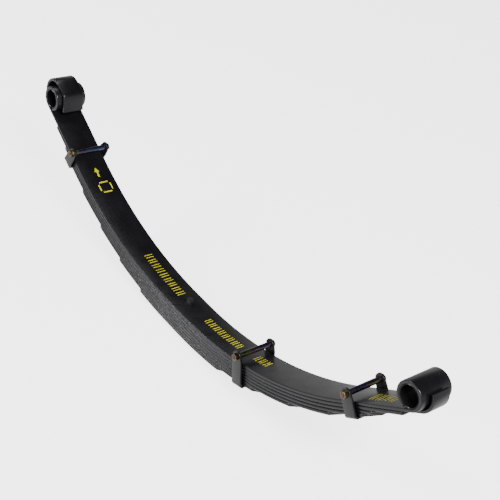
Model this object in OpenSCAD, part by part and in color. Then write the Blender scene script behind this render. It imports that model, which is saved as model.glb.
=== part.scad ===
// Semi-elliptic leaf spring for a solid axle: eight leaves, two rolled eyes, a wrapped second leaf,
// three bolted rebound clips and a centre bolt whose round head locates the axle perch.
//
// Frame: the origin is the middle of the main leaf's top face, on the centre bolt's axis.
// +X runs to the shackle (rear) eye, -X to the fixed (front) eye, +Y across the leaves, +Z out of the
// main leaf's top face, towards the axle perch. "Station" is the distance from the centre bolt measured
// along the main leaf's top face, and "height" is measured square to that face (negative is below it).

/* [Leaves] */
// Width of every leaf
leaf_w = 70; // [50:1:90]
// Thickness of every leaf
leaf_t = 6.3; // [5:0.1:8]
// Gap between neighbouring leaves, filled at the tips by the slip liners
leaf_gap = 0.3; // [0.2:0.1:1.5]
// Length of the tapered point at each end of a leaf
point_len = 30; // [15:1:40]
// Width that each corner of a leaf point is trimmed by
point_trim = 18; // [8:1:24]

/* [Arch] */
// Half length of the flat seat under the axle perch
seat_half = 20; // [10:1:60]
// Radius of the main leaf's top face in the front arm
front_radius = 810; // [600:5:1200]
// Length of the curved stretch of the front arm
front_arc = 405; // [330:1:500]
// Straight stretch from the front arc to the foot of the front eye
front_straight = 149; // [149:1:220]
// Radius of the main leaf's top face in the rear arm
rear_radius = 720; // [560:5:1200]
// Length of the curved stretch of the rear arm
rear_arc = 450; // [360:1:560]
// Straight stretch from the rear arc to the foot of the rear eye
rear_straight = 173; // [170:1:260]

/* [Leaf lengths, from the centre bolt to the tip] */
// Wrap leaf, front shoulder where its tongue begins
wrap_front_len = 522; // [480:1:530]
// Wrap leaf, rear shoulder where its tongue begins
wrap_rear_len = 621; // [590:1:625]
// Third leaf, front
leaf_3_front_len = 499; // [475:1:510]
// Third leaf, rear
leaf_3_rear_len = 580; // [565:1:600]
// Fourth leaf, front
leaf_4_front_len = 485; // [470:1:490]
// Fourth leaf, rear
leaf_4_rear_len = 555; // [545:1:575]
// Fifth leaf, front
leaf_5_front_len = 397; // [370:1:405]
// Fifth leaf, rear
leaf_5_rear_len = 472; // [440:1:480]
// Sixth leaf, front
leaf_6_front_len = 310; // [280:1:350]
// Sixth leaf, rear
leaf_6_rear_len = 372; // [330:1:410]
// Seventh leaf, front
leaf_7_front_len = 225; // [200:1:260]
// Seventh leaf, rear
leaf_7_rear_len = 272; // [255:1:320]
// Bottom leaf, front
leaf_8_front_len = 142; // [110:1:180]
// Bottom leaf, rear
leaf_8_rear_len = 172; // [120:1:180]

/* [Eyes] */
// Bore radius of the steel liner tube in each eye, which takes a bush
bush_bore_r = 19; // [13:0.5:22]
// Wall of the liner tube
liner_wall = 1.45; // [1:0.05:3]
// Gap between the cut end of a rolled eye and the main leaf's top face
eye_end_gap = 1.6; // [0.8:0.1:4]
// Radial clearance of the liner tube in the rolled eye
liner_fit = 0.05; // [0.02:0.01:0.1]
// Radial clearance between an eye and the wrap that is round it
wrap_clear = 0.6; // [0.4:0.1:3]

/* [Wrap leaf] */
// Width of the tongue round the front eye
front_tongue_w = 48; // [30:1:60]
// Slack between the front eye and its wrap, on the outboard side
front_slack = 11; // [4:1:14]
// Flat stretch of the front wrap over the top of the eye
front_flat = 21; // [14:1:26]
// Inner radius of the last bend of the front wrap
front_lip_r = 12; // [8:1:20]
// Angle of that last bend
front_lip_bend = 55; // [35:1:60]
// Straight lip after the last bend
front_lip_len = 28; // [8:1:30]
// Width of the tongue under the rear eye
rear_tongue_w = 38; // [24:1:50]
// Slack between the rear eye and its wrap, on the outboard side
rear_slack = 3.5; // [2:0.5:8]
// Turn of the rear wrap round the eye
rear_wrap_turn = 90; // [70:1:110]

/* [Centre bolt] */
// Radius of the centre bolt's shank
centre_r = 5; // [4:0.5:7]
// Radial clearance of the leaves on the centre bolt
centre_clear = 0.25; // [0.1:0.05:0.6]
// Radius of the round locating head
dowel_r = 7.5; // [7:0.5:11]
// Height of the round locating head
dowel_h = 10; // [6:0.5:16]
// Size of the centre nut across its flats
centre_nut_af = 17; // [15:1:24]
// Height of the centre nut
centre_nut_h = 8; // [6:0.5:12]

/* [Clips] */
// Station of the front clip
front_clip_at = 439; // [425:1:450]
// Station of the middle clip
mid_clip_at = 207; // [205:1:220]
// Station of the rear clip
rear_clip_at = 504; // [490:1:520]
// Width of the clip strap
strap_w = 26; // [20:1:32]
// Thickness of the clip strap
strap_t = 4; // [3:0.5:6]
// Side clearance between the leaves and a clip leg
clip_side = 3; // [1.5:0.5:5]
// Clearance between a clip's floor and the leaf that it is riveted to
clip_floor = 0.3; // [0.2:0.1:1]
// Inner radius of the bends at a clip's floor
strap_bend = 3; // [2:0.5:5]
// Height of the clip bolt's axis above the main leaf's top face
clip_bolt_up = 14.3; // [12:0.1:22]
// Radius of the ear round the clip bolt
ear_r = 11; // [9:0.5:13]
// Radius of the clip bolt's shank
clip_bolt_r = 4; // [3:0.5:5]
// Radial clearance of the clip bolt in the ears and the spacer tube
clip_bolt_clear = 0.4; // [0.1:0.1:0.8]
// Outer radius of the spacer tube
spacer_r = 5.5; // [5.5:0.5:9]
// Size of the clip bolt's head and nut across the flats
clip_hex_af = 13; // [12:0.5:17]
// Height of the clip bolt's head
clip_head_h = 5.3; // [4:0.1:8]
// Height of the clip nut
clip_nut_h = 6.5; // [5:0.5:10]
// Thread left standing out of a nut
thread_end = 1; // [1:0.5:8]
// Radius of the rivet that holds a clip to its leaf
rivet_r = 4; // [3:0.5:5]
// Radius of the rivet's round head
rivet_head_r = 7; // [6:0.5:9]
// Height of the rivet's round head
rivet_head_h = 3.5; // [2:0.5:5]
// Share of the rivet head's radius left at its crown
rivet_taper = 0.7; // [0.6:0.05:0.9]
// Radial clearance of the rivet in its leaf and strap
rivet_clear = 0.1; // [0.05:0.05:0.3]

/* [Slip liners] */
// Length of the slip liner over each leaf tip
slip_len = 50; // [30:1:50]
// Width of the slip liners
slip_w = 60; // [40:1:66]

/* [Hidden] */

// Longest facet along a leaf's arch, and the angle of each facet round an eye.
arch_step = 16;
roll_step = 6;
round_fn = 96;
// Shortest edge left next to a facet's end, and how far a cut runs past the faces it goes through.
min_edge = 0.01;
over = 2;
leaf_count = 8;
pitch = leaf_t + leaf_gap;
eye_r = bush_bore_r + liner_wall + liner_fit;
ring_r = eye_r + leaf_t;
eye_turn = 360 - acos((eye_r - eye_end_gap) / ring_r);
wrap_r = ring_r + wrap_clear;

front = -1;
rear = 1;
// An arm is [radius, arc length, straight length]; side picks the front or the rear one.
front_arm = [front_radius, front_arc, front_straight];
rear_arm = [rear_radius, rear_arc, rear_straight];
function arm_of(side) = side == front ? front_arm : rear_arm;
function arc_end(side) = seat_half + arm_of(side)[1];
function eye_foot(side) = arc_end(side) + arm_of(side)[2];
function arc_angle(side, s) = (s - seat_half) / arm_of(side)[0] * 180 / PI;

// Point [x, z] at a station of one arm and a height square to the main leaf's top face there.
function on_arm(side, s, h) = let(
    r = arm_of(side)[0],
    turn = arc_angle(side, min(max(s, seat_half), arc_end(side))),
    straight = max(s - arc_end(side), 0)
) [
    side * (min(s, seat_half) + r * sin(turn) + straight * cos(turn) - h * sin(turn)),
    r * (1 - cos(turn)) + straight * sin(turn) + h * cos(turn)
];

// Stations at which the arch of one arm changes facet, the same ones for every leaf.
function facet_count(side) = ceil(arm_of(side)[1] / arch_step);
function facet_at(side, k) = seat_half + arm_of(side)[1] * k / facet_count(side);

// A point on the flat facet that holds a station, so that every piece meets its neighbour's facets.
function on_facet(side, s, h) = s <= seat_half || s >= arc_end(side) ? on_arm(side, s, h) : let(
    place = (s - seat_half) / arm_of(side)[1] * facet_count(side),
    k = floor(place),
    share = place - k
) on_arm(side, facet_at(side, k), h) * (1 - share) + on_arm(side, facet_at(side, k + 1), h) * share;

// One face of an arm from station s0 to s1, at one height.
function face(side, s0, s1, h) = concat(
    [on_facet(side, s0, h)],
    [for (k = [0:facet_count(side)])
        let(s = facet_at(side, k)) if (s > s0 + min_edge && s < s1 - min_edge) on_arm(side, s, h)],
    [on_facet(side, s1, h)]
);
function reversed(list) = [for (k = [len(list) - 1:-1:0]) list[k]];

// Round stretch past the foot of an eye. Its centre is u outboard of the foot and up above the main
// leaf's top face, and its angle runs from straight below the centre, outboard and up.
function turn_at(side, u, up, r, a) = on_arm(side, eye_foot(side) + u + r * sin(a), up - r * cos(a));
function round_run(side, u, up, r, from, to) = let(count = ceil((to - from) / roll_step))
    [for (k = [0:count]) turn_at(side, u, up, r, from + (to - from) * k / count)];

// Height of a leaf's top and bottom face, counting the main leaf as number 1.
function leaf_top(n) = -(n - 1) * pitch;
function leaf_bottom(n) = leaf_top(n) - leaf_t;

// Length of each leaf in front of and behind the centre bolt, for leaves 3 to 8.
front_lens = [leaf_3_front_len, leaf_4_front_len, leaf_5_front_len, leaf_6_front_len,
    leaf_7_front_len, leaf_8_front_len];
rear_lens = [leaf_3_rear_len, leaf_4_rear_len, leaf_5_rear_len, leaf_6_rear_len,
    leaf_7_rear_len, leaf_8_rear_len];
function tip_at(n, side) = side == front ? front_lens[n - 3] : rear_lens[n - 3];

// Moves its children from the origin to a station of one arm, turned to follow the main leaf there.
module at_station(side, s) {
    m = side == front ? 1 : 0;
    r = arm_of(side)[0];
    turn = s <= seat_half ? 0 : arc_angle(side, min(s, arc_end(side)));
    mirror([m, 0, 0])
        if (s <= seat_half)
            translate([s, 0, 0]) children();
        else
            translate([seat_half + r * sin(turn), 0, r * (1 - cos(turn))])
                rotate([0, -turn, 0])
                    translate([max(s - arc_end(side), 0), 0, 0]) children();
}

// Turns a side outline [x, z] into a leaf of width w, centred across the pack.
module rolled_bar(outline, w) {
    translate([0, w / 2, 0]) rotate([90, 0, 0]) linear_extrude(w) polygon(outline);
}

// Wedges that trim the two corners of a leaf tip; x = 0 is the tip, and the leaf lies at -x.
module point_cutter(w, low, high) {
    slope = point_trim / point_len;
    for (side_y = [-1, 1])
        translate([0, 0, low - over])
            linear_extrude(high - low + 2 * over)
                polygon([
                    [-point_len - over, side_y * (w / 2 + over * slope)],
                    [over, side_y * (w / 2 - point_trim - over * slope)],
                    [over, side_y * (w / 2 + over * slope)]
                ]);
}

module centre_hole() {
    translate([0, 0, leaf_bottom(leaf_count) - over])
        cylinder(h = leaf_count * pitch + 2 * over, r = centre_r + centre_clear, $fn = round_fn);
}

// Hole for the rivet of a clip through leaf n, which the clip is riveted to.
module rivet_hole(side, s, n) {
    at_station(side, s)
        translate([0, 0, leaf_bottom(n) - over])
            cylinder(h = leaf_t + 2 * over, r = rivet_r + rivet_clear, $fn = round_fn);
}

// A plain graduated leaf, number n, with trimmed points at both ends.
module plain_leaf(n) {
    difference() {
        rolled_bar(concat(
            reversed(face(front, 0, tip_at(n, front), leaf_bottom(n))),
            face(rear, 0, tip_at(n, rear), leaf_bottom(n)),
            reversed(face(rear, 0, tip_at(n, rear), leaf_top(n))),
            face(front, 0, tip_at(n, front), leaf_top(n))
        ), leaf_w);
        for (side = [front, rear])
            at_station(side, tip_at(n, side)) point_cutter(leaf_w, leaf_bottom(n), leaf_top(n));
        centre_hole();
    }
}

// One face of an arm of the main leaf with the rolled eye that it runs into. The inner face's facets
// touch the eye's true radius, so that the liner tube clears all of them.
function eye_face(side, h, r) = concat(
    face(side, 0, eye_foot(side), h),
    round_run(side, 0, eye_r, r, roll_step, eye_turn)
);
function main_low(side) = eye_face(side, leaf_bottom(1), ring_r);
function main_high(side) = eye_face(side, leaf_top(1), eye_r / cos(roll_step / 2));

module main_leaf() {
    color("dimgray") difference() {
        rolled_bar(concat(
            reversed(main_low(front)), main_low(rear), reversed(main_high(rear)), main_high(front)
        ), leaf_w);
        centre_hole();
    }
}

// Height of the axis of a wrap's round stretch, and of the front wrap's flat over the eye.
wrap_up = leaf_top(2) + wrap_r;
flat_up = wrap_up + wrap_r;
lip_u = front_slack - front_flat;
lip_up = flat_up - front_lip_r;
lip_a = 180 + front_lip_bend;

// Faces of the second leaf: off is 0 on the face next to the main leaf, and leaf_t on the other.
function front_lip_end(off) = on_arm(
    front,
    eye_foot(front) + lip_u + (front_lip_r + off) * sin(lip_a) + front_lip_len * cos(lip_a),
    lip_up - (front_lip_r + off) * cos(lip_a) + front_lip_len * sin(lip_a)
);
function wrap_front_face(off) = concat(
    face(front, 0, eye_foot(front) - 1, leaf_top(2) - off),
    round_run(front, front_slack, wrap_up, wrap_r + off, 0, 180),
    round_run(front, lip_u, lip_up, front_lip_r + off, 180, lip_a),
    [front_lip_end(off)]
);
function wrap_rear_face(off) = concat(
    face(rear, 0, eye_foot(rear) - 1, leaf_top(2) - off),
    round_run(rear, rear_slack, wrap_up, wrap_r + off, 0, rear_wrap_turn)
);

// Blocks that narrow the second leaf to a tongue of width w past a station.
module shoulder_cutter(side, s, w) {
    reach = 4 * (wrap_r + leaf_t);
    at_station(side, s)
        for (edge = [-1, 1])
            translate([0, edge * (w / 2 + leaf_w / 2) - leaf_w / 2, -reach / 2])
                cube([2 * reach, leaf_w, reach * 1.5]);
}

module wrap_leaf() {
    color("dimgray") difference() {
        rolled_bar(concat(
            reversed(wrap_front_face(leaf_t)), wrap_rear_face(leaf_t),
            reversed(wrap_rear_face(0)), wrap_front_face(0)
        ), leaf_w);
        shoulder_cutter(front, wrap_front_len, front_tongue_w);
        shoulder_cutter(rear, wrap_rear_len, rear_tongue_w);
        centre_hole();
    }
}

module leaf_3() { color("dimgray") plain_leaf(3); }

// Both end clips are riveted to the fourth leaf.
module leaf_4() {
    color("dimgray") difference() {
        plain_leaf(4);
        rivet_hole(front, front_clip_at, 4);
        rivet_hole(rear, rear_clip_at, 4);
    }
}

module leaf_5() { color("dimgray") plain_leaf(5); }
module leaf_6() { color("dimgray") plain_leaf(6); }

// The middle clip is riveted to the seventh leaf.
module leaf_7() {
    color("dimgray") difference() {
        plain_leaf(7);
        rivet_hole(rear, mid_clip_at, 7);
    }
}

module leaf_8() { color("dimgray") plain_leaf(8); }

// Steel tube inside one rolled eye, open for a bush or a shackle pin.
module eye_liner(side) {
    at_station(side, eye_foot(side))
        translate([0, leaf_w / 2, eye_r])
            rotate([90, 0, 0])
                difference() {
                    cylinder(h = leaf_w, r = eye_r - liner_fit, $fn = round_fn);
                    translate([0, 0, -over])
                        cylinder(h = leaf_w + 2 * over, r = bush_bore_r, $fn = round_fn);
                }
}

module front_eye_liner() { color("gray") eye_liner(front); }
module rear_eye_liner() { color("gray") eye_liner(rear); }

module centre_bolt() {
    shank = -leaf_bottom(leaf_count) + centre_nut_h + thread_end;
    color("black") union() {
        cylinder(h = dowel_h, r = dowel_r, $fn = round_fn);
        translate([0, 0, -shank]) cylinder(h = shank + over, r = centre_r, $fn = round_fn);
    }
}

// A hexagonal nut or head, from z = 0 up, with a bore when bore_r is over 0.
module hex(af, h, bore_r) {
    difference() {
        cylinder(h = h, r = af / 2 / cos(30), $fn = 6);
        if (bore_r > 0)
            translate([0, 0, -over]) cylinder(h = h + 2 * over, r = bore_r, $fn = round_fn);
    }
}

module centre_nut() {
    color("black")
        translate([0, 0, leaf_bottom(leaf_count) - centre_nut_h])
            hex(centre_nut_af, centre_nut_h, centre_r);
}

// Half the distance between a clip's ears, the height at which a leg starts to narrow to its ear, and
// the angle on the ear at which the narrowing ends.
ear_y = leaf_w / 2 + clip_side;
leg_top = 2;
ear_join = 20;

// Outline of one clip leg with its ear, square to Y: x along the leaf, y up.
module leg_outline(floor_top) {
    join = ear_r * [cos(ear_join), sin(ear_join)];
    union() {
        translate([-strap_w / 2, floor_top + strap_bend])
            square([strap_w, leg_top - floor_top - strap_bend]);
        polygon([
            [-strap_w / 2, leg_top], [strap_w / 2, leg_top],
            [join[0], clip_bolt_up + join[1]], [-join[0], clip_bolt_up + join[1]]
        ]);
        translate([0, clip_bolt_up]) circle(r = ear_r, $fn = round_fn);
    }
}

// U-shaped strap round the bottom and sides of the first n leaves, with an ear above each side.
module clip_strap(side, s, n) {
    floor_top = leaf_bottom(n) - clip_floor;
    at_station(side, s)
        difference() {
            union() {
                for (flip = [0, 1])
                    mirror([0, flip, 0]) {
                        translate([0, ear_y + strap_t, 0])
                            rotate([90, 0, 0]) linear_extrude(strap_t) leg_outline(floor_top);
                        translate([0, ear_y - strap_bend, floor_top + strap_bend])
                            rotate([0, 90, 0])
                                rotate_extrude(angle = 90, $fn = round_fn)
                                    translate([strap_bend, -strap_w / 2]) square([strap_t, strap_w]);
                    }
                translate([-strap_w / 2, -ear_y + strap_bend, floor_top - strap_t])
                    cube([strap_w, 2 * (ear_y - strap_bend), strap_t]);
            }
            translate([0, 0, clip_bolt_up])
                rotate([90, 0, 0])
                    translate([0, 0, -leaf_w])
                        cylinder(h = 2 * leaf_w, r = clip_bolt_r + clip_bolt_clear, $fn = round_fn);
            translate([0, 0, floor_top - strap_t - over])
                cylinder(h = strap_t + 2 * over, r = rivet_r + rivet_clear, $fn = round_fn);
        }
}

// Bolt through both ears: head at +Y, threaded end at -Y.
module clip_bolt(side, s) {
    under_head = ear_y + strap_t;
    end = under_head + clip_nut_h + thread_end;
    at_station(side, s)
        translate([0, 0, clip_bolt_up])
            rotate([-90, 0, 0]) {
                translate([0, 0, under_head]) hex(clip_hex_af, clip_head_h, 0);
                translate([0, 0, -end])
                    cylinder(h = end + under_head + over, r = clip_bolt_r, $fn = round_fn);
            }
}

module clip_nut(side, s) {
    at_station(side, s)
        translate([0, -(ear_y + strap_t), clip_bolt_up])
            rotate([90, 0, 0]) hex(clip_hex_af, clip_nut_h, clip_bolt_r);
}

// Tube between the ears that stops the clip bolt from pinching the strap in.
module clip_spacer(side, s) {
    at_station(side, s)
        translate([0, ear_y, clip_bolt_up])
            rotate([90, 0, 0])
                difference() {
                    cylinder(h = 2 * ear_y, r = spacer_r, $fn = round_fn);
                    translate([0, 0, -over])
                        cylinder(h = 2 * (ear_y + over), r = clip_bolt_r + clip_bolt_clear, $fn = round_fn);
                }
}

// Rivet from under the strap's floor up through leaf n, just short of that leaf's top face.
module clip_rivet(side, s, n) {
    floor_low = leaf_bottom(n) - clip_floor - strap_t;
    head_low = floor_low - rivet_head_h;
    at_station(side, s) {
        translate([0, 0, head_low])
            cylinder(h = leaf_top(n) - rivet_clear - head_low, r = rivet_r, $fn = round_fn);
        translate([0, 0, head_low])
            cylinder(h = rivet_head_h, r1 = rivet_head_r * rivet_taper, r2 = rivet_head_r, $fn = round_fn);
    }
}

module front_clip_strap() { color("black") clip_strap(front, front_clip_at, 4); }
module front_clip_bolt() { color("goldenrod") clip_bolt(front, front_clip_at); }
module front_clip_nut() { color("goldenrod") clip_nut(front, front_clip_at); }
module front_clip_spacer() { color("silver") clip_spacer(front, front_clip_at); }
module front_clip_rivet() { color("black") clip_rivet(front, front_clip_at, 4); }
module mid_clip_strap() { color("black") clip_strap(rear, mid_clip_at, 7); }
module mid_clip_bolt() { color("goldenrod") clip_bolt(rear, mid_clip_at); }
module mid_clip_nut() { color("goldenrod") clip_nut(rear, mid_clip_at); }
module mid_clip_spacer() { color("silver") clip_spacer(rear, mid_clip_at); }
module mid_clip_rivet() { color("black") clip_rivet(rear, mid_clip_at, 7); }
module rear_clip_strap() { color("black") clip_strap(rear, rear_clip_at, 4); }
module rear_clip_bolt() { color("goldenrod") clip_bolt(rear, rear_clip_at); }
module rear_clip_nut() { color("goldenrod") clip_nut(rear, rear_clip_at); }
module rear_clip_spacer() { color("silver") clip_spacer(rear, rear_clip_at); }
module rear_clip_rivet() { color("black") clip_rivet(rear, rear_clip_at, 4); }

// Slip liners: one over the tip of each listed leaf, filling the gap to the leaf above it.
module slip_liners(side, leaves) {
    for (n = leaves) {
        last = tip_at(n, side) - point_len;
        rolled_bar(concat(
            face(side, last - slip_len, last, leaf_top(n)),
            reversed(face(side, last - slip_len, last, leaf_top(n) + leaf_gap))
        ), slip_w);
    }
}

module front_inner_slip_liners() { color("black") slip_liners(front, [7, 8]); }
module front_outer_slip_liners() { color("black") slip_liners(front, [3, 4, 5, 6]); }
module rear_inner_slip_liners() { color("black") slip_liners(rear, [7, 8]); }
module rear_outer_slip_liners() { color("black") slip_liners(rear, [3, 4, 5, 6]); }

main_leaf();
wrap_leaf();
leaf_3();
leaf_4();
leaf_5();
leaf_6();
leaf_7();
leaf_8();
front_eye_liner();
rear_eye_liner();
centre_bolt();
centre_nut();
front_clip_strap();
front_clip_bolt();
front_clip_nut();
front_clip_spacer();
front_clip_rivet();
mid_clip_strap();
mid_clip_bolt();
mid_clip_nut();
mid_clip_spacer();
mid_clip_rivet();
rear_clip_strap();
rear_clip_bolt();
rear_clip_nut();
rear_clip_spacer();
rear_clip_rivet();
front_inner_slip_liners();
front_outer_slip_liners();
rear_inner_slip_liners();
rear_outer_slip_liners();
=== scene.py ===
# %% [markdown]
# # A multi-leaf spring, built around its CAD frame
#
# A leaf spring is a stack of curved steel strips. The longest one carries an eye at each end, the others
# back it up, and a centre bolt and three clips keep them together. The frame brings the solids.
# This lesson puts finished surfaces round them: leaves with rounded rolled edges, clips with pressed
# straps, threads, plating and worn black paint.

# %% Load the frame
import math

import bmesh
import bpy
from mathutils import Matrix, Vector


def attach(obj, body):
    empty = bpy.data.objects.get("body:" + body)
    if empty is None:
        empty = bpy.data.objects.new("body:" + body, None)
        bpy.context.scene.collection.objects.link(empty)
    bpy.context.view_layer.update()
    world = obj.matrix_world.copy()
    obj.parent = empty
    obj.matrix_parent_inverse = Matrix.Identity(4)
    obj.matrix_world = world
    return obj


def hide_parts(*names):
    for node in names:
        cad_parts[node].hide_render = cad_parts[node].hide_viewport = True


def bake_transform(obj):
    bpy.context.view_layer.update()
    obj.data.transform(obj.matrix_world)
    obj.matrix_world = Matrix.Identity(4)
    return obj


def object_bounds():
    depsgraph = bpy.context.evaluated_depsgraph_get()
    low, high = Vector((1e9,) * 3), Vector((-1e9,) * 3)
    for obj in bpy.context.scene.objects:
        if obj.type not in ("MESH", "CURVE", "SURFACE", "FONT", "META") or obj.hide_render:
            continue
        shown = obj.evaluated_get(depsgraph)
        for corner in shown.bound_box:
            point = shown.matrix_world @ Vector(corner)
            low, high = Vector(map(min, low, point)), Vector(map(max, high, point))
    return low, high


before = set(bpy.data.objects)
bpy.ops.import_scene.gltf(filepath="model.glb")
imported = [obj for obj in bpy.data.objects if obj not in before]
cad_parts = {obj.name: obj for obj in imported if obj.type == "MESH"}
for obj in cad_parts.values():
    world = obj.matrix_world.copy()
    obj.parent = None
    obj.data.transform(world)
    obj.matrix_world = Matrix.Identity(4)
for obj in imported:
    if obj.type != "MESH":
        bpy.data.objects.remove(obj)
cad_low, cad_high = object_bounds()
print("CAD box", [round(v, 3) for v in cad_low], [round(v, 3) for v in cad_high])

# %% [markdown]
# ## The line that everything follows
#
# Every leaf lies along one curve: a flat seat under the axle, an arc, then a straight run to the eye.
# A curve object could carry the leaves, but a short function is easier to bend, measure and reuse. It
# turns a station (distance along the main leaf) and a height (square to its face) into a point.

# %% The spring's driving sizes, in metres
MM = 0.001
FRONT, REAR = -1, 1
LEAF_W = 70 * MM
LEAF_T = 6.3 * MM
LEAF_GAP = 0.3 * MM
PITCH = LEAF_T + LEAF_GAP
SEAT_HALF = 20 * MM
ARC_R = {FRONT: 810 * MM, REAR: 720 * MM}
ARC_LEN = {FRONT: 405 * MM, REAR: 450 * MM}
STRAIGHT = {FRONT: 149 * MM, REAR: 173 * MM}
ARM = {FRONT: "front_arm", REAR: "rear_arm"}
NAME = {FRONT: "front", REAR: "rear"}
SEAT_BODY = "leaf_pack"


def arc_end(side):
    """Station where the arc of one arm ends and its straight run begins."""
    return SEAT_HALF + ARC_LEN[side]


def eye_foot(side):
    """Station where the main leaf starts to roll up into its eye."""
    return arc_end(side) + STRAIGHT[side]


def slope(side, s):
    """How far the leaf has turned up at a station, in radians."""
    return (min(max(s, SEAT_HALF), arc_end(side)) - SEAT_HALF) / ARC_R[side]


def spot(side, s, h, y=0.0):
    """The point at a station, a height square to the main leaf, and a place across the pack."""
    a = slope(side, s)
    run = max(s - arc_end(side), 0)
    x = min(s, SEAT_HALF) + ARC_R[side] * math.sin(a) + run * math.cos(a) - h * math.sin(a)
    z = ARC_R[side] * (1 - math.cos(a)) + run * math.sin(a) + h * math.cos(a)
    return Vector((side * x, y, z))


BUSH_BORE_R, LINER_WALL, LINER_FIT = 19 * MM, 1.45 * MM, 0.05 * MM
EYE_R = BUSH_BORE_R + LINER_WALL + LINER_FIT
for side in (FRONT, REAR):
    eye = spot(side, eye_foot(side), EYE_R)
    print(NAME[side], "eye centre at", [round(v * 1000, 1) for v in eye], "mm")

# %% [markdown]
# ## Small helpers
#
# Pieces are made from lists of rings: a ring is one closed loop of points, and neighbouring rings are
# bridged with quads. That one helper makes leaves, tubes, bolts and straps, so they all shade alike.

# %% Mesh helpers


def new_piece(name, verts, faces, smooth=True):
    mesh = bpy.data.meshes.new(name)
    mesh.from_pydata([tuple(v) for v in verts], [], faces)
    mesh.validate()
    piece = bpy.data.objects.new(name, mesh)
    bpy.context.scene.collection.objects.link(piece)
    bm = bmesh.new()
    bm.from_mesh(mesh)
    bmesh.ops.remove_doubles(bm, verts=bm.verts, dist=1e-7)
    bmesh.ops.recalc_face_normals(bm, faces=bm.faces)
    bm.to_mesh(mesh)
    bm.free()
    for polygon in mesh.polygons:
        polygon.use_smooth = smooth
    return piece


def sharpen(piece, degrees=35):
    """Keeps edges sharper than an angle crisp, and shades the rest smooth."""
    bm = bmesh.new()
    bm.from_mesh(piece.data)
    for edge in bm.edges:
        if len(edge.link_faces) == 2:
            edge.smooth = edge.calc_face_angle(0) < math.radians(degrees)
    bm.to_mesh(piece.data)
    bm.free()


def skin(rings, close=False, caps=True):
    """Vertices and faces that join closed rings of equal length."""
    count = len(rings[0])
    verts = [v for ring in rings for v in ring]
    faces = []
    last = len(rings) if close else len(rings) - 1
    for i in range(last):
        a, b = i * count, ((i + 1) % len(rings)) * count
        for k in range(count):
            n = (k + 1) % count
            faces.append((a + k, a + n, b + n, b + k))
    if caps and not close:
        faces.append(tuple(range(count)))
        faces.append(tuple((len(rings) - 1) * count + k for k in range(count))[::-1])
    return verts, faces


def rounded_section(width, low, high, radius, steps=3):
    """Closed loop of (y, h) for a flat bar with rounded edges."""
    loop = []
    corners = [(width / 2, high, 0), (-width / 2, high, 90), (-width / 2, low, 180), (width / 2, low, 270)]
    for y, h, start in corners:
        cy = y - math.copysign(radius, y)
        ch = h - radius if h == high else h + radius
        for k in range(steps + 1):
            a = math.radians(start + 90 * k / steps)
            loop.append((cy + radius * math.cos(a), ch + radius * math.sin(a)))
    return loop


def tube_rings(stations, count=48):
    """Rings of (radius, place along +Z) round the Z axis."""
    turn = 2 * math.pi / count
    return [[Vector((r * math.cos(k * turn), r * math.sin(k * turn), z)) for k in range(count)]
            for r, z in stations]


def place(piece, side, s, h, y=0.0, lie_across=False):
    """Moves a finished piece to a station. lie_across turns its +Z to point along +Y."""
    a = slope(side, s)
    along = Vector((side * math.cos(a), 0, math.sin(a)))
    up = Vector((-side * math.sin(a), 0, math.cos(a)))
    across = Vector((0, 1, 0))
    axes = (along, up * -side, across) if lie_across else (along, up.cross(along), up)
    turned = Matrix((axes[0], axes[1], axes[2])).transposed().to_4x4()
    piece.data.transform(Matrix.Translation(spot(side, s, h, y)) @ turned)


# %% [markdown]
# ## Materials
#
# The spring is dipped in black paint, and a dipped coat is never one flat black: it has a fine orange
# peel, dull patches where dust sticks, and small rubbed marks. Noise textures in object space give all
# three at real size. Plated parts get an interference tint: a noise picks from a ramp of pale blue,
# green, straw and violet, as yellow-green passivated zinc shows. Numbers that are the same everywhere
# are set on the shader's own sockets, so an exported copy keeps them.

# %% Material helpers


class Nodes:
    """A short way to add and link shader nodes in one material."""

    def __init__(self, name):
        self.material = bpy.data.materials.new(name)
        self.material.use_nodes = True
        self.tree = self.material.node_tree
        self.shader = self.tree.nodes["Principled BSDF"]
        self.coords = self.tree.nodes.new("ShaderNodeTexCoord")

    def link(self, source, target):
        self.tree.links.new(source, target)

    def noise(self, scale, detail=4.0, stretch=(1, 1, 1), rough=0.55):
        mapping = self.tree.nodes.new("ShaderNodeMapping")
        mapping.inputs["Scale"].default_value = stretch
        self.link(self.coords.outputs["Object"], mapping.inputs["Vector"])
        node = self.tree.nodes.new("ShaderNodeTexNoise")
        node.inputs["Scale"].default_value = scale
        node.inputs["Detail"].default_value = detail
        node.inputs["Roughness"].default_value = rough
        self.link(mapping.outputs["Vector"], node.inputs["Vector"])
        return node.outputs["Fac"]

    def ramp(self, source, stops):
        node = self.tree.nodes.new("ShaderNodeValToRGB")
        elements = node.color_ramp.elements
        while len(elements) < len(stops):
            elements.new(0.5)
        for element, (at, colour) in zip(elements, stops):
            element.position = at
            element.color = (*colour, 1)
        self.link(source, node.inputs["Fac"])
        return node.outputs["Color"]

    def span(self, source, low, high, start=0.3, end=0.7):
        node = self.tree.nodes.new("ShaderNodeMapRange")
        node.inputs["From Min"].default_value = start
        node.inputs["From Max"].default_value = end
        node.inputs["To Min"].default_value = low
        node.inputs["To Max"].default_value = high
        self.link(source, node.inputs["Value"])
        return node.outputs["Result"]

    def bump(self, source, strength, distance):
        node = self.tree.nodes.new("ShaderNodeBump")
        node.inputs["Strength"].default_value = strength
        node.inputs["Distance"].default_value = distance
        if self.shader.inputs["Normal"].is_linked:
            self.link(self.shader.inputs["Normal"].links[0].from_socket, node.inputs["Normal"])
        self.link(source, node.inputs["Height"])
        self.link(node.outputs["Normal"], self.shader.inputs["Normal"])


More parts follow.
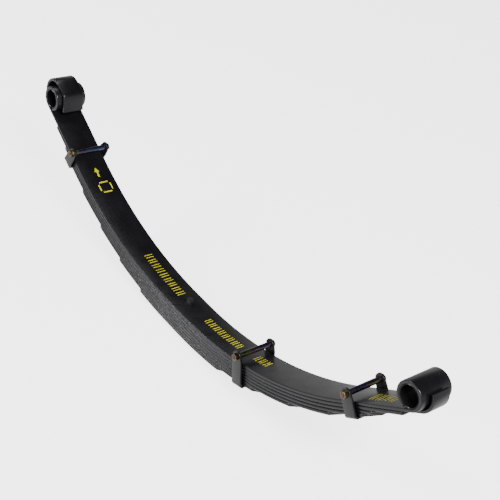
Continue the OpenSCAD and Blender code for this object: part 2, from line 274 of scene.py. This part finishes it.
def black_paint(name, tone, rough_low, rough_high, peel=0.16):
    """Satin black dip paint: cloudy tone, dusty patches, orange peel and a few rubbed specks."""
    n = Nodes(name)
    cloud = n.noise(9, 5, (1, 1, 1))
    speck = n.noise(420, 3)
    dark = tuple(c * 0.72 for c in tone)
    pale = tuple(c * 1.45 for c in tone)
    base = n.ramp(cloud, [(0.3, dark), (0.55, tone), (0.75, pale)])
    dust = n.ramp(speck, [(0.68, (0, 0, 0)), (0.80, (0.05, 0.05, 0.05))])
    mix = n.tree.nodes.new("ShaderNodeMix")
    mix.data_type = "RGBA"
    mix.blend_type = "ADD"
    mix.inputs["Factor"].default_value = 1
    n.link(base, mix.inputs["A"])
    n.link(dust, mix.inputs["B"])
    n.link(mix.outputs["Result"], n.shader.inputs["Base Color"])
    n.link(n.span(n.noise(38, 6), rough_low, rough_high), n.shader.inputs["Roughness"])
    n.bump(n.noise(700, 2), peel, 0.00006)
    n.bump(n.noise(60, 3), 0.10, 0.0004)
    n.shader.inputs["Specular IOR Level"].default_value = 0.5
    return n.material


def plating(name, stops, rough=(0.22, 0.42)):
    """Passivated zinc: a metal whose thin film shifts through a few pale colours."""
    n = Nodes(name)
    n.shader.inputs["Metallic"].default_value = 1.0
    film = n.noise(55, 3, (1, 0.35, 1))
    n.link(n.ramp(film, stops), n.shader.inputs["Base Color"])
    n.link(n.span(n.noise(240, 5), *rough), n.shader.inputs["Roughness"])
    n.bump(n.noise(900, 3), 0.12, 0.00005)
    return n.material


def stencil_paint(name):
    """Brushed-on stencil yellow, thin enough in places for the black to show through."""
    n = Nodes(name)
    wear = n.noise(330, 5, (1, 1, 1), 0.65)
    yellows = [(0.33, (0.09, 0.08, 0.01)), (0.38, (0.66, 0.60, 0.004)), (0.6, (0.92, 0.84, 0.004))]
    n.link(n.ramp(wear, yellows), n.shader.inputs["Base Color"])
    n.link(n.span(wear, 0.75, 0.5), n.shader.inputs["Roughness"])
    n.bump(wear, 0.25, 0.0001)
    return n.material


PAINT = {
    "leaf": black_paint("leaf_black", (0.0085, 0.0082, 0.0105), 0.22, 0.34),
    "edge": black_paint("clip_black", (0.0075, 0.0073, 0.0085), 0.24, 0.38, 0.2),
    "eye": black_paint("liner_black", (0.008, 0.008, 0.009), 0.24, 0.36),
    "centre": black_paint("centre_bolt_black", (0.012, 0.012, 0.013), 0.35, 0.5, 0.25),
    "pad": black_paint("pad_black", (0.004, 0.004, 0.004), 0.6, 0.8, 0.1),
}
SPACER_FINISH = plating("spacer_zinc", [
    (0.30, (0.05, 0.13, 0.07)), (0.42, (0.15, 0.17, 0.07)),
    (0.52, (0.13, 0.07, 0.17)), (0.66, (0.05, 0.10, 0.16))])
NUT_FINISH = plating("nut_yellow_zinc", [
    (0.30, (0.12, 0.09, 0.04)), (0.48, (0.24, 0.18, 0.07)),
    (0.58, (0.15, 0.09, 0.08)), (0.70, (0.12, 0.13, 0.07))])
BOLT_FINISH = plating("bolt_dark_zinc", [
    (0.32, (0.05, 0.04, 0.06)), (0.50, (0.13, 0.08, 0.13)), (0.66, (0.06, 0.05, 0.11))], (0.28, 0.46))
STENCIL = stencil_paint("stencil_yellow")
print(len(bpy.data.materials), "materials")


def finish_piece(piece, material, slot, *replaced):
    """Gives a piece its material, and hides the CAD nodes it stands for. The slot argument is not used."""
    piece.data.materials.clear()
    piece.data.materials.append(material)
    if replaced:
        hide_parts(*replaced)
    return piece


# %% [markdown]
# ## Where the pack bends
#
# The frame stands in for bending with one sprung hinge in each arm. A real pack bends along its whole
# length. Here each leaf is cut at the centre bolt into a front and a rear half, and each half is left where
# it is drawn, in neither the seat's body nor its arm's body. The cut lies where nothing moves, so it never
# opens.


def bend_with_arm(piece):
    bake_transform(piece)


# %% [markdown]
# ## Leaves
#
# Spring flats are rolled, so their long edges are rounded, and that is what draws the bright and dark
# lines down the side of the pack. Extruding the CAD outline would give sharp edges. Here a rounded
# section is swept along the curve instead: each ring knows its station, its height, how far the strip
# has turned there and its width, so one function makes plain tips, rolled eyes and wraps.

# %% Sweep one strip along a list of (station, height, turn, width)
EDGE_R = 2.3 * MM


def strip(name, side, path, thickness, edge=EDGE_R, steps=3):
    rings = []
    for s, h, turn, width in path:
        ring = []
        for y, d in rounded_section(width, -thickness, 0, edge, steps):
            ring.append(spot(side, s - math.sin(turn) * d, h + math.cos(turn) * d, y))
        rings.append(ring)
    piece = new_piece(name, *skin(rings))
    sharpen(piece, 40)
    return piece


def along(start, end, step):
    count = max(1, round((end - start) / step))
    return [start + (end - start) * k / count for k in range(count + 1)]


def leaf_top(n):
    return -(n - 1) * PITCH


# %% [markdown]
# Leaves three to eight are plain strips whose ends are trimmed to a blunt point. The trim is a straight
# taper in width, with a small round where it starts, as shears and a dip of thick paint leave it.

# %% Plain leaves
POINT_LEN = 30 * MM
POINT_TRIM = 18 * MM
LENGTHS = {  # leaf number: (front, rear) length from the centre bolt
    3: (499, 580), 4: (485, 555), 5: (397, 472), 6: (310, 372), 7: (225, 272), 8: (142, 172),
}
TIP_STEP = 2 * MM
RUN_STEP = 7 * MM


def tip_path(n, tip):
    h = leaf_top(n)
    path = [(s, h, 0, LEAF_W) for s in along(0, tip - POINT_LEN, RUN_STEP)]
    for s in along(tip - POINT_LEN, tip - 1.2 * MM, TIP_STEP)[1:]:
        cut = POINT_TRIM * (s - tip + POINT_LEN) / POINT_LEN
        path.append((s, h, 0, LEAF_W - 2 * cut))
    return path


# How far the section draws in, and how far back from the tip, in millimetres.
TIP_ROUND = ((0.35, 0.5), (1.0, 0.12), (1.5, 0.0))


def rounded_end(name, side, n, tip):
    """The last millimetre of a tip draws in its section, so the end has no raw corner."""
    path = tip_path(n, tip)
    rings = []
    for s, h, _, width in path:
        rings.append([spot(side, s, h + d, y)
                      for y, d in rounded_section(width, -LEAF_T, 0, EDGE_R)])
    end_width = LEAF_W - 2 * POINT_TRIM
    for inset, back in TIP_ROUND:
        rings.append([spot(side, tip - back * MM, h + d, y)
                      for y, d in rounded_section(end_width - inset * MM, -LEAF_T + inset * MM * 0.8,
                                                  -inset * MM * 0.8, EDGE_R - inset * MM * 0.4)])
    piece = new_piece(name, *skin(rings))
    sharpen(piece, 50)
    return piece


leaf_faces = 0
for number, ends in LENGTHS.items():
    for side, tip in zip((FRONT, REAR), ends):
        leaf = rounded_end(f"leaf_{number}_{NAME[side]}", side, number, tip * MM)
        finish_piece(leaf, PAINT["leaf"], "leaf_paint", f"leaf_{number}")
        bend_with_arm(leaf)
        leaf_faces += len(leaf.data.polygons)
print("plain leaf halves:", 2 * len(LENGTHS), "faces", leaf_faces)

# %% [markdown]
# ## Main leaf and its eyes
#
# The main leaf runs at full width into a roll that turns up and back until its cut end almost meets the
# leaf again. In the path below, the strip's own turn goes on past the foot, and the ring of each step
# stands square to the roll.

# %% Main leaf
EYE_END_GAP = 1.6 * MM
EYE_TURN = 360 - math.degrees(math.acos((EYE_R - EYE_END_GAP) / (EYE_R + LEAF_T)))
ROLL_STEP = 5


def roll(side, u, up, radius, start, end, width, step=ROLL_STEP):
    """Path round a roll whose centre is u outboard of the eye's foot and up above the main leaf."""
    count = max(2, round((end - start) / step))
    path = []
    for k in range(count + 1):
        a = math.radians(start + (end - start) * k / count)
        path.append((eye_foot(side) + u + radius * math.sin(a), up - radius * math.cos(a), a, width))
    return path


for side in (FRONT, REAR):
    path = [(s, 0, 0, LEAF_W) for s in along(0, eye_foot(side), RUN_STEP)]
    path += roll(side, 0, EYE_R, EYE_R, 0, EYE_TURN, LEAF_W)[1:]
    leaf = strip(f"main_leaf_{NAME[side]}", side, path, LEAF_T, 1.7 * MM)
    finish_piece(leaf, PAINT["leaf"], "leaf_paint", "main_leaf")
    bend_with_arm(leaf)
    print(leaf.name, len(leaf.data.polygons), "faces")

# %% [markdown]
# ## Wrap leaf
#
# The second leaf narrows at its shoulders to a tongue. At the fixed eye the tongue goes right round,
# loose enough for the main leaf to slide, and ends in a bent lip. At the shackle eye it only cups the
# eye from below. The shoulders are square cuts with a small corner radius, so the width changes over a
# few very short steps.

# %% Wrap leaf
SHOULDER = {FRONT: 522 * MM, REAR: 621 * MM}
TONGUE_W = {FRONT: 48 * MM, REAR: 38 * MM}
SHOULDER_R = 4 * MM
WRAP_R = EYE_R + LEAF_T + 0.6 * MM
FRONT_SLACK, FRONT_FLAT = 11 * MM, 21 * MM
LIP_R, LIP_BEND, LIP_LEN = 12 * MM, 55, 28 * MM
REAR_SLACK, REAR_TURN = 3.5 * MM, 90


def shoulder_path(side):
    h, cut = leaf_top(2), SHOULDER[side]
    path = [(s, h, 0, LEAF_W) for s in along(0, cut - SHOULDER_R, RUN_STEP)]
    for k in range(1, 5):
        a = math.radians(90 * k / 4)
        path.append((cut - SHOULDER_R + SHOULDER_R * math.sin(a), h, 0,
                     LEAF_W - 2 * SHOULDER_R * (1 - math.cos(a))))
    path.append((cut + 0.05 * MM, h, 0, TONGUE_W[side] + 2 * MM))
    path.append((cut + 1 * MM, h, 0, TONGUE_W[side] + 0.4 * MM))
    path += [(s, h, 0, TONGUE_W[side]) for s in along(cut + 2 * MM, eye_foot(side), RUN_STEP)]
    return path


def lip_path(side, width):
    """Over the top of the eye, down the last bend and along the lip."""
    up = leaf_top(2) + 2 * WRAP_R - LIP_R
    u = FRONT_SLACK - FRONT_FLAT
    path = roll(side, u, up, LIP_R, 180, 180 + LIP_BEND, width)
    s, h, a, _ = path[-1]
    for k in range(1, 7):
        reach = LIP_LEN * k / 6
        path.append((s + reach * math.cos(a), h + reach * math.sin(a), a, width))
    return path


wrap_up = leaf_top(2) + WRAP_R
front_path = shoulder_path(FRONT)
front_path += roll(FRONT, FRONT_SLACK, wrap_up, WRAP_R, 0, 180, TONGUE_W[FRONT])
front_path += lip_path(FRONT, TONGUE_W[FRONT])
rear_path = shoulder_path(REAR)
rear_path += roll(REAR, REAR_SLACK, wrap_up, WRAP_R, 0, REAR_TURN, TONGUE_W[REAR])
for side, path in ((FRONT, front_path), (REAR, rear_path)):
    leaf = strip(f"wrap_leaf_{NAME[side]}", side, path, LEAF_T, 1.7 * MM)
    finish_piece(leaf, PAINT["leaf"], "leaf_paint", "wrap_leaf")
    bend_with_arm(leaf)
    print(leaf.name, len(leaf.data.polygons), "faces")

# %% [markdown]
# ## Slip liners
#
# Thin pads sit over each tip and keep steel off steel. Only their dark edges show, but those edges are
# the black lines that separate the leaves near their tips.

# %% Slip liners
SLIP_LEN, SLIP_W = 50 * MM, 60 * MM
GROUPS = {"inner": (7, 8), "outer": (3, 4, 5, 6)}
for side in (FRONT, REAR):
    for group, numbers in GROUPS.items():
        for number in numbers:
            tip = LENGTHS[number][0 if side == FRONT else 1] * MM - POINT_LEN
            h = leaf_top(number) + LEAF_GAP
            path = [(s, h, 0, SLIP_W) for s in along(tip - SLIP_LEN, tip, RUN_STEP)]
            pad = strip(f"slip_liner_{number}_{NAME[side]}", side, path, LEAF_GAP, 0.1 * MM, 1)
            finish_piece(pad, PAINT["pad"], "slip_liner", f"{NAME[side]}_{group}_slip_liners")
            bend_with_arm(pad)
print("slip liners made")

# %% [markdown]
# ## Eye liners and centre bolt
#
# A steel tube lines each eye, open for a bush. It is a turned ring, so a profile spun round its axis
# suits it: outer wall, two small chamfers and the bore. The centre bolt's round head is turned the same
# way, and its chamfer is what catches the light.

# %% Eye liners
LINER_OUT, LINER_IN = EYE_R - LINER_FIT, BUSH_BORE_R
CHAMFER = 0.7 * MM
HALF_W = LEAF_W / 2

for side in (FRONT, REAR):
    profile = [
        (LINER_IN + CHAMFER, -HALF_W), (LINER_OUT - CHAMFER, -HALF_W), (LINER_OUT, -HALF_W + CHAMFER),
        (LINER_OUT, HALF_W - CHAMFER), (LINER_OUT - CHAMFER, HALF_W), (LINER_IN + CHAMFER, HALF_W),
        (LINER_IN, HALF_W - CHAMFER), (LINER_IN, -HALF_W + CHAMFER),
    ]
    liner = new_piece(f"{NAME[side]}_eye_tube", *skin(tube_rings(profile, 72), close=True))
    sharpen(liner, 30)
    place(liner, side, eye_foot(side), EYE_R, lie_across=True)
    finish_piece(liner, PAINT["eye"], "liner_steel", f"{NAME[side]}_eye_liner")
    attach(liner, ARM[side])
print("eye liners made")

# %% Hexagons with turned chamfers


def hex_radius(af, angle):
    """Distance from a hexagon's middle to its side, at an angle."""
    return af / 2 / math.cos((angle + math.pi / 6) % (math.pi / 3) - math.pi / 6)


def hexagon(name, af, height, bore=0.0, both=True, count=96):
    """A hexagon along +Z whose ends are turned to a 30 degree cone, as nuts and heads are."""
    angles = [2 * math.pi * k / count for k in range(count)]
    flat_r = af / 2 * 0.95
    slant = math.tan(math.radians(30))

    def ring(radius_of, z_of):
        return [Vector((radius_of(a) * math.cos(a), radius_of(a) * math.sin(a), z_of(a))) for a in angles]

    def side_r(a):
        return hex_radius(af, a)

    def fall(a):
        return (side_r(a) - flat_r) * slant

    low = [ring(lambda a: flat_r, lambda a: 0), ring(side_r, fall)] if both else [ring(side_r, lambda a: 0)]
    high = [ring(side_r, lambda a: height - fall(a)), ring(lambda a: flat_r, lambda a: height)]
    rings = low + high
    if bore:
        lead = 0.6 * MM
        inner = [(bore + lead, height), (bore, height - lead), (bore, lead), (bore + lead, 0)]
        rings += [[Vector((r * math.cos(a), r * math.sin(a), z)) for a in angles] for r, z in inner]
    piece = new_piece(name, *skin(rings, close=bool(bore)))
    sharpen(piece, 25)
    return piece


def threaded_end(length, radius, thread_pitch, count=40):
    """Rings for a chamfered end with rolled thread, from z = 0 down to -length."""
    depth = 0.45 * thread_pitch
    stations = [(radius - depth, -length), (radius, -length + depth)]
    z = -length + depth
    while z < -thread_pitch:
        stations += [(radius - depth, z + thread_pitch * 0.5), (radius, z + thread_pitch)]
        z += thread_pitch
    return tube_rings(stations + [(radius, 0)], count)


# %% [markdown]
# Heads and nuts share one function, because their shape follows one rule: a hexagon cut by a cone. The
# cone meets the flats in the curved edges that make a nut look like a nut.

# %% Centre bolt and nut
DOWEL_R, DOWEL_H = 7.5 * MM, 10 * MM
CENTRE_R = 5 * MM
STACK = 7 * PITCH + LEAF_T
CENTRE_NUT_AF, CENTRE_NUT_H = 17 * MM, 8 * MM
THREAD_END = 1 * MM

foot = STACK + CENTRE_NUT_H + THREAD_END
profile = [(CENTRE_R - 0.8 * MM, -foot), (CENTRE_R, -foot + 0.8 * MM), (CENTRE_R, 0), (DOWEL_R, 0),
           (DOWEL_R, DOWEL_H - 1.1 * MM), (DOWEL_R - 0.35 * MM, DOWEL_H - 0.4 * MM),
           (DOWEL_R - 1.1 * MM, DOWEL_H),
           (2.2 * MM, DOWEL_H), (1.7 * MM, DOWEL_H - 0.5 * MM)]
dowel = new_piece("centre_pin_head", *skin(tube_rings(profile)))
sharpen(dowel, 32)
finish_piece(dowel, PAINT["centre"], "centre_steel", "centre_bolt")
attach(dowel, SEAT_BODY)
nut = hexagon("centre_hex_nut", CENTRE_NUT_AF, CENTRE_NUT_H, CENTRE_R + 0.02 * MM)
nut.data.transform(Matrix.Translation((0, 0, -STACK - CENTRE_NUT_H)))
finish_piece(nut, PAINT["centre"], "centre_steel", "centre_nut")
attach(nut, SEAT_BODY)
print("centre bolt made")

# %% [markdown]
# ## Rebound clips
#
# Each clip is a strap bent up round the pack, with two ears above it. It could be a box model with
# bevels, but a strap is one flat bar, so it is swept like the leaves: a section follows the bent line
# from one ear, under the pack and up to the other. The section narrows above the shoulder and rounds
# off over the bolt. A short pressed slit on the outside of each leg locks the fold.

# %% Clip sizes
CLIPS = {  # name: (side, station, leaves held, body)
    "front": (FRONT, 439 * MM, 4, ARM[FRONT]),
    "mid": (REAR, 207 * MM, 7, SEAT_BODY),
    "rear": (REAR, 504 * MM, 4, ARM[REAR]),
}
STRAP_W, STRAP_T, STRAP_BEND = 26 * MM, 4 * MM, 3 * MM
EAR_Y = HALF_W + 3 * MM
EAR_R = 11 * MM
BOLT_UP = 14.3 * MM
SHOULDER_UP = 2 * MM
FLOOR_GAP = 0.3 * MM


def strap_line(floor_top):
    """Points (y, height, turn of the outward normal) down one leg, round the bend and to the middle."""
    line = []
    for k in range(17):
        a = math.pi / 2 * (1 - k / 16)
        line.append((EAR_Y, BOLT_UP + (EAR_R - 0.2 * MM) * math.sin(a), 0))
    for h in along(BOLT_UP, SHOULDER_UP, 3 * MM)[1:]:
        line.append((EAR_Y, h, 0))
    for h in along(SHOULDER_UP, floor_top + STRAP_BEND, 2 * MM)[1:]:
        line.append((EAR_Y, h, 0))
    for k in range(1, 9):
        a = math.pi / 2 * k / 8
        line.append((EAR_Y - STRAP_BEND * (1 - math.cos(a)), floor_top + STRAP_BEND * (1 - math.sin(a)), a))
    for y in along(EAR_Y - STRAP_BEND, 0, 7 * MM)[1:]:
        line.append((y, floor_top, math.pi / 2))
    return line


def strap_width(h):
    """Full width of the strap at a height: round over the bolt, sloping to the shoulder, then parallel."""
    if h >= BOLT_UP:
        return max(2 * math.sqrt(max(EAR_R ** 2 - (h - BOLT_UP) ** 2, 0)), 5 * MM)
    if h >= SHOULDER_UP:
        share = (BOLT_UP - h) / (BOLT_UP - SHOULDER_UP)
        return 2 * EAR_R + (STRAP_W - 2 * EAR_R) * share ** 0.8
    return STRAP_W


SLIT_AT, SLIT_W, SLIT_D = 8.2 * MM, 2.0 * MM, 1.1 * MM
SLIT_FLOOR = 0.6  # width of the slit's floor, as a share of its mouth
SLIT_SQUEEZE = 0.02 * MM  # keeps its points apart where the strap is too narrow for it
STRAP_EDGE_R, STRAP_EDGE_STEPS = 0.9 * MM, 3


def strap_section(width, slit):
    """Loop of (x, outward) for the strap, with a slit of some depth in its outer face."""
    loop = rounded_section(width, 0, STRAP_T, STRAP_EDGE_R, STRAP_EDGE_STEPS)
    half, floor = SLIT_W / 2, SLIT_W / 2 * SLIT_FLOOR
    cut = [(SLIT_AT + half, 0), (SLIT_AT + floor, slit),
           (SLIT_AT - floor, slit), (SLIT_AT - half, 0)]
    limit = width / 2 - STRAP_EDGE_R
    cut = [(min(x, limit - SLIT_SQUEEZE * k), STRAP_T - d) for k, (x, d) in enumerate(cut)]
    corner = STRAP_EDGE_STEPS + 1
    return loop[:corner] + cut + loop[corner:]


def make_strap(name, leaves):
    floor_top = leaf_top(leaves) - LEAF_T - FLOOR_GAP
    half = strap_line(floor_top)
    other = [(-y, h, -a) for y, h, a in reversed(half[:-1])]
    slit_low, slit_high = floor_top + 7 * MM, 0.5 * MM
    rings = []
    for index, (y, h, a) in enumerate(half + other):
        flip = -1 if index >= len(half) else 1
        near_slit = a == 0 and slit_low < h < slit_high
        ring = []
        for x, out in strap_section(strap_width(h), SLIT_D if near_slit else 0.0):
            if flip > 0:
                ring.append(Vector((x, y + out * math.cos(a), h - out * math.sin(a))))
            else:
                ring.append(Vector((x, y - out * math.cos(-a), h - out * math.sin(-a))))
        rings.append(ring)
    piece = new_piece(name, *skin(rings))
    sharpen(piece, 38)
    return piece


# %% Clip straps, bolts, nuts, spacers and rivets
CLIP_BOLT_R, BOLT_PLAY = 4 * MM, 0.4 * MM
SPACER_R = 5.5 * MM
HEX_AF, HEAD_H, NUT_H = 13 * MM, 5.3 * MM, 6.5 * MM
RIVET_R, RIVET_HEAD_R, RIVET_HEAD_H = 4 * MM, 7 * MM, 3.5 * MM
THREAD_PITCH = 1.25 * MM
THREAD_RUN = 9 * MM  # thread that goes on inside the strap, past the nut
HEAD_TURN, NUT_TURN = 17, -8  # degrees, as hand tightening leaves them

for clip, (side, station, leaves, body) in CLIPS.items():
    strap = make_strap(f"{clip}_strap", leaves)
    place(strap, side, station, 0)
    finish_piece(strap, PAINT["edge"], "clip_paint", f"{clip}_clip_strap")

    under_head = EAR_Y + STRAP_T
    reach = 2 * under_head + NUT_H + THREAD_END
    head = hexagon(f"{clip}_bolt_head", HEX_AF, HEAD_H, both=False)
    turn = Matrix.Rotation(math.radians(HEAD_TURN), 4, "Z")
    head.data.transform(turn @ Matrix.Translation((0, 0, under_head)))
    thread_top = Vector((0, 0, THREAD_RUN - under_head))
    thread = threaded_end(NUT_H + THREAD_END + THREAD_RUN, CLIP_BOLT_R, THREAD_PITCH)
    rings = [[v + thread_top for v in ring] for ring in thread]
    shank = new_piece(f"{clip}_bolt_shank", *skin(rings + tube_rings([(CLIP_BOLT_R, under_head)], 40)))
    sharpen(shank, 30)
    nut = hexagon(f"{clip}_hex_nut", HEX_AF, NUT_H, CLIP_BOLT_R + 0.02 * MM)
    turn = Matrix.Rotation(math.radians(NUT_TURN), 4, "Z")
    nut.data.transform(turn @ Matrix.Translation((0, 0, -under_head - NUT_H)))
    wall = SPACER_R - CLIP_BOLT_R - BOLT_PLAY
    profile = [(SPACER_R - wall, -EAR_Y), (SPACER_R - 0.3 * MM, -EAR_Y), (SPACER_R, -EAR_Y + 0.3 * MM),
               (SPACER_R, EAR_Y - 0.3 * MM), (SPACER_R - 0.3 * MM, EAR_Y), (SPACER_R - wall, EAR_Y)]
    spacer = new_piece(f"{clip}_spacer_tube", *skin(tube_rings(profile), close=True))
    sharpen(spacer, 30)
    for piece in (head, shank, nut, spacer):
        place(piece, side, station, BOLT_UP, lie_across=True)
    finish_piece(head, BOLT_FINISH, "bolt_steel", f"{clip}_clip_bolt")
    finish_piece(shank, BOLT_FINISH, "bolt_steel", f"{clip}_clip_bolt")
    finish_piece(nut, NUT_FINISH, "nut_zinc", f"{clip}_clip_nut")
    finish_piece(spacer, SPACER_FINISH, "spacer_zinc", f"{clip}_clip_spacer")

    floor_low = leaf_top(leaves) - LEAF_T - FLOOR_GAP - STRAP_T
    dome = [(RIVET_HEAD_R * math.sin(a), floor_low - RIVET_HEAD_H * math.cos(a))
            for a in (math.radians(6 + 84 * k / 7) for k in range(8))]
    profile = dome + [(RIVET_R, floor_low), (RIVET_R, leaf_top(leaves) - 0.1 * MM)]
    rivet = new_piece(f"{clip}_rivet", *skin(tube_rings(profile)))
    sharpen(rivet, 35)
    place(rivet, side, station, 0)
    finish_piece(rivet, PAINT["edge"], "clip_paint", f"{clip}_clip_rivet")
    for piece in (strap, head, shank, nut, spacer, rivet):
        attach(piece, body)
    print(clip, "clip made, bolt reach", round(reach * 1000, 1), "mm")

# %% [markdown]
# ## Stencil marks
#
# The top face carries yellow stencil paint. Real lettering is left out, so the rows are plain bars in
# pairs, beside an arrow that points to the fixed eye and an open square. Paint has
# thickness, so each mark is a thin, short slab laid along the curve.

# %% Marks
MARK_UP = 0.10 * MM
MARK_SINK = 0.10 * MM


def mark_point(s, y, h):
    """Marks use signed stations: negative is in the front arm."""
    side = FRONT if s < 0 else REAR
    return spot(side, abs(s), h, y)


def slab(outline_rows):
    """Closed thin slab from rows of (station, low y, high y)."""
    rings = []
    for s, low, high in outline_rows:
        rings.append([mark_point(s, low, -MARK_SINK), mark_point(s, high, -MARK_SINK),
                      mark_point(s, high, MARK_UP), mark_point(s, low, MARK_UP)])
    return skin(rings)


def join_slabs(name, slabs):
    verts, faces = [], []
    for part_verts, part_faces in slabs:
        start = len(verts)
        verts += part_verts
        faces += [tuple(start + i for i in face) for face in part_faces]
    return new_piece(name, verts, faces, smooth=False)


def bar(s0, s1, y0, y1):
    """A plain bar from one station to another."""
    return slab([(s * MM, y0 * MM, y1 * MM) for s in along(s0, s1, 3)])


def slanted(s0, s1, a0, b0, a1, b1):
    """A bar whose two sides run straight from (a0, b0) at one end to (a1, b1) at the other."""
    rows = []
    for s in along(s0, s1, 2):
        share = (s - s0) / (s1 - s0)
        rows.append((s * MM, (a0 + (a1 - a0) * share) * MM, (b0 + (b1 - b0) * share) * MM))
    return slab(rows)


arrow = [bar(-391, -378, 0.2, 4.0), slanted(-401, -391, 1.9, 2.1, -4.0, 8.0)]
open_square = [
    bar(-365, -362, -6, 15), bar(-340, -337, -6, 15), bar(-359, -343, -11, -8), bar(-359, -343, 17, 20),
]
BAR_W = 1.6


def bar_row(start, end, low, high, pitch_mm):
    """A row of upright bars in pairs, as a plain stencil gauge."""
    row = []
    for k in range(int((end - start) / pitch_mm)):
        for offset in (0, 0.42 * pitch_mm):
            at = start + k * pitch_mm + offset
            row.append(bar(at, at + BAR_W, low, high))
    return row


MARKS = {  # name: (slabs, side)
    "arrow_mark": (arrow, FRONT),
    "open_square_mark": (open_square, FRONT),
    "bar_row_front": (bar_row(-158, -22, -8, 11, 15), FRONT),
    "bar_row_middle": (bar_row(60, 174, -7, 10, 14), REAR),
    "bar_row_rear": (bar_row(214, 264, -8, 11, 14), REAR),
    "bar_row_eye": (bar_row(530, 590, -17, 9, 15), REAR),
}
for name, (slabs, side) in MARKS.items():
    mark = join_slabs(name, slabs)
    finish_piece(mark, STENCIL, "leaf_paint")
    bend_with_arm(mark)
print(len(MARKS), "marks")

# %% [markdown]
# ## Studio
#
# The camera stands where the part shows both eyes and the run of its top face. Black paint is lit
# mostly by what it reflects, so the room matters more than the lamps: dark overhead keeps the top face
# deep, and bright below lifts the sides of the leaves. A narrow strip and a low side panel draw the
# lines of light on the eyes and along the rolled edges. The floor glows only for the camera.

# %% Floor, lights and camera
FLOOR_Z = cad_low[2] - 0.5 * MM
FLOOR_HALF = 30
FLOOR_GLOW = 3.2
corners = [(x * FLOOR_HALF, y * FLOOR_HALF, FLOOR_Z) for x, y in ((-1, -1), (1, -1), (1, 1), (-1, 1))]
floor_mesh = bpy.data.meshes.new("floor")
floor_mesh.from_pydata(corners, [], [(0, 1, 2, 3)])
floor = bpy.data.objects.new("floor", floor_mesh)
bpy.context.scene.collection.objects.link(floor)
floor_look = Nodes("floor_pale")
floor_look.shader.inputs["Base Color"].default_value = (0.9, 0.9, 0.9, 1)
floor_look.shader.inputs["Roughness"].default_value = 0.9
floor_look.shader.inputs["Emission Color"].default_value = (1, 1, 1, 1)
floor_look.shader.inputs["Emission Strength"].default_value = FLOOR_GLOW
floor_mesh.materials.append(floor_look.material)
floor.visible_diffuse = False
floor.visible_glossy = False

# Brightness of the studio round the part, by the height of the direction: below, level and overhead.
SURROUND = [(0.0, 1.5), (0.28, 1.3), (0.42, 0.55), (0.58, 0.75), (0.68, 0.3), (0.8, 0.04), (1.0, 0.03)]
world = bpy.data.worlds.new("studio")
world.use_nodes = True
tree = world.node_tree
direction = tree.nodes.new("ShaderNodeTexCoord")
height = tree.nodes.new("ShaderNodeSeparateXYZ")
share = tree.nodes.new("ShaderNodeMapRange")
share.inputs["From Min"].default_value = -1
shade = tree.nodes.new("ShaderNodeFloatCurve")
points = shade.mapping.curves[0].points
while len(points) < len(SURROUND):
    points.new(0.5, 0.5)
BRIGHTEST = max(value for _, value in SURROUND)
for point, (at, value) in zip(points, SURROUND):
    point.location = (at, value / BRIGHTEST)
shade.mapping.update()
gain = tree.nodes.new("ShaderNodeMath")
gain.operation = "MULTIPLY"
gain.inputs[1].default_value = BRIGHTEST
tree.links.new(direction.outputs["Generated"], height.inputs["Vector"])
tree.links.new(height.outputs["Z"], share.inputs["Value"])
tree.links.new(share.outputs["Result"], shade.inputs["Value"])
tree.links.new(shade.outputs["Value"], gain.inputs[0])
tree.links.new(gain.outputs["Value"], tree.nodes["Background"].inputs["Strength"])
tree.nodes["Background"].inputs["Color"].default_value = (1, 1, 1, 1)
bpy.context.scene.world = world


def panel(name, place_at, target, width, depth, power):
    light = bpy.data.lights.new(name, "AREA")
    light.shape = "RECTANGLE"
    light.size = width
    light.size_y = depth
    light.energy = power
    lamp = bpy.data.objects.new(name, light)
    bpy.context.scene.collection.objects.link(lamp)
    lamp.location = place_at
    lamp.rotation_euler = (Vector(target) - Vector(place_at)).to_track_quat("-Z", "Y").to_euler()


panel("strip", (-0.9, 0.3, 1.9), (0.3, 0, 0.1), 0.25, 1.6, 5)
panel("side", (0.5, -2.2, 0.5), (0, 0, 0.05), 2.4, 0.5, 16)
panel("key", (2.0, -0.6, 2.4), (0, 0, 0.05), 1.0, 0.6, 95)
panel("rim", (-2.3, -2.4, 2.0), (0, 0, 0.05), 1.2, 0.5, 70)

camera_data = bpy.data.cameras.new("camera")
camera = bpy.data.objects.new("camera", camera_data)
bpy.context.scene.collection.objects.link(camera)
camera_data.sensor_width = 36
camera_data.lens = 76.08
camera_data.clip_end = 50
right = Vector((0.6027, 0.7748, 0.191)).normalized()
forward = Vector((-0.577, 0.5885, -0.5663)).normalized()
up = right.cross(forward)
camera.matrix_world = (Matrix.Translation((1.2346, -1.1264, 1.3063))
                       @ Matrix((right, up, -forward)).transposed().to_4x4())
bpy.context.scene.camera = camera
print("camera at", [round(v, 3) for v in camera.location])
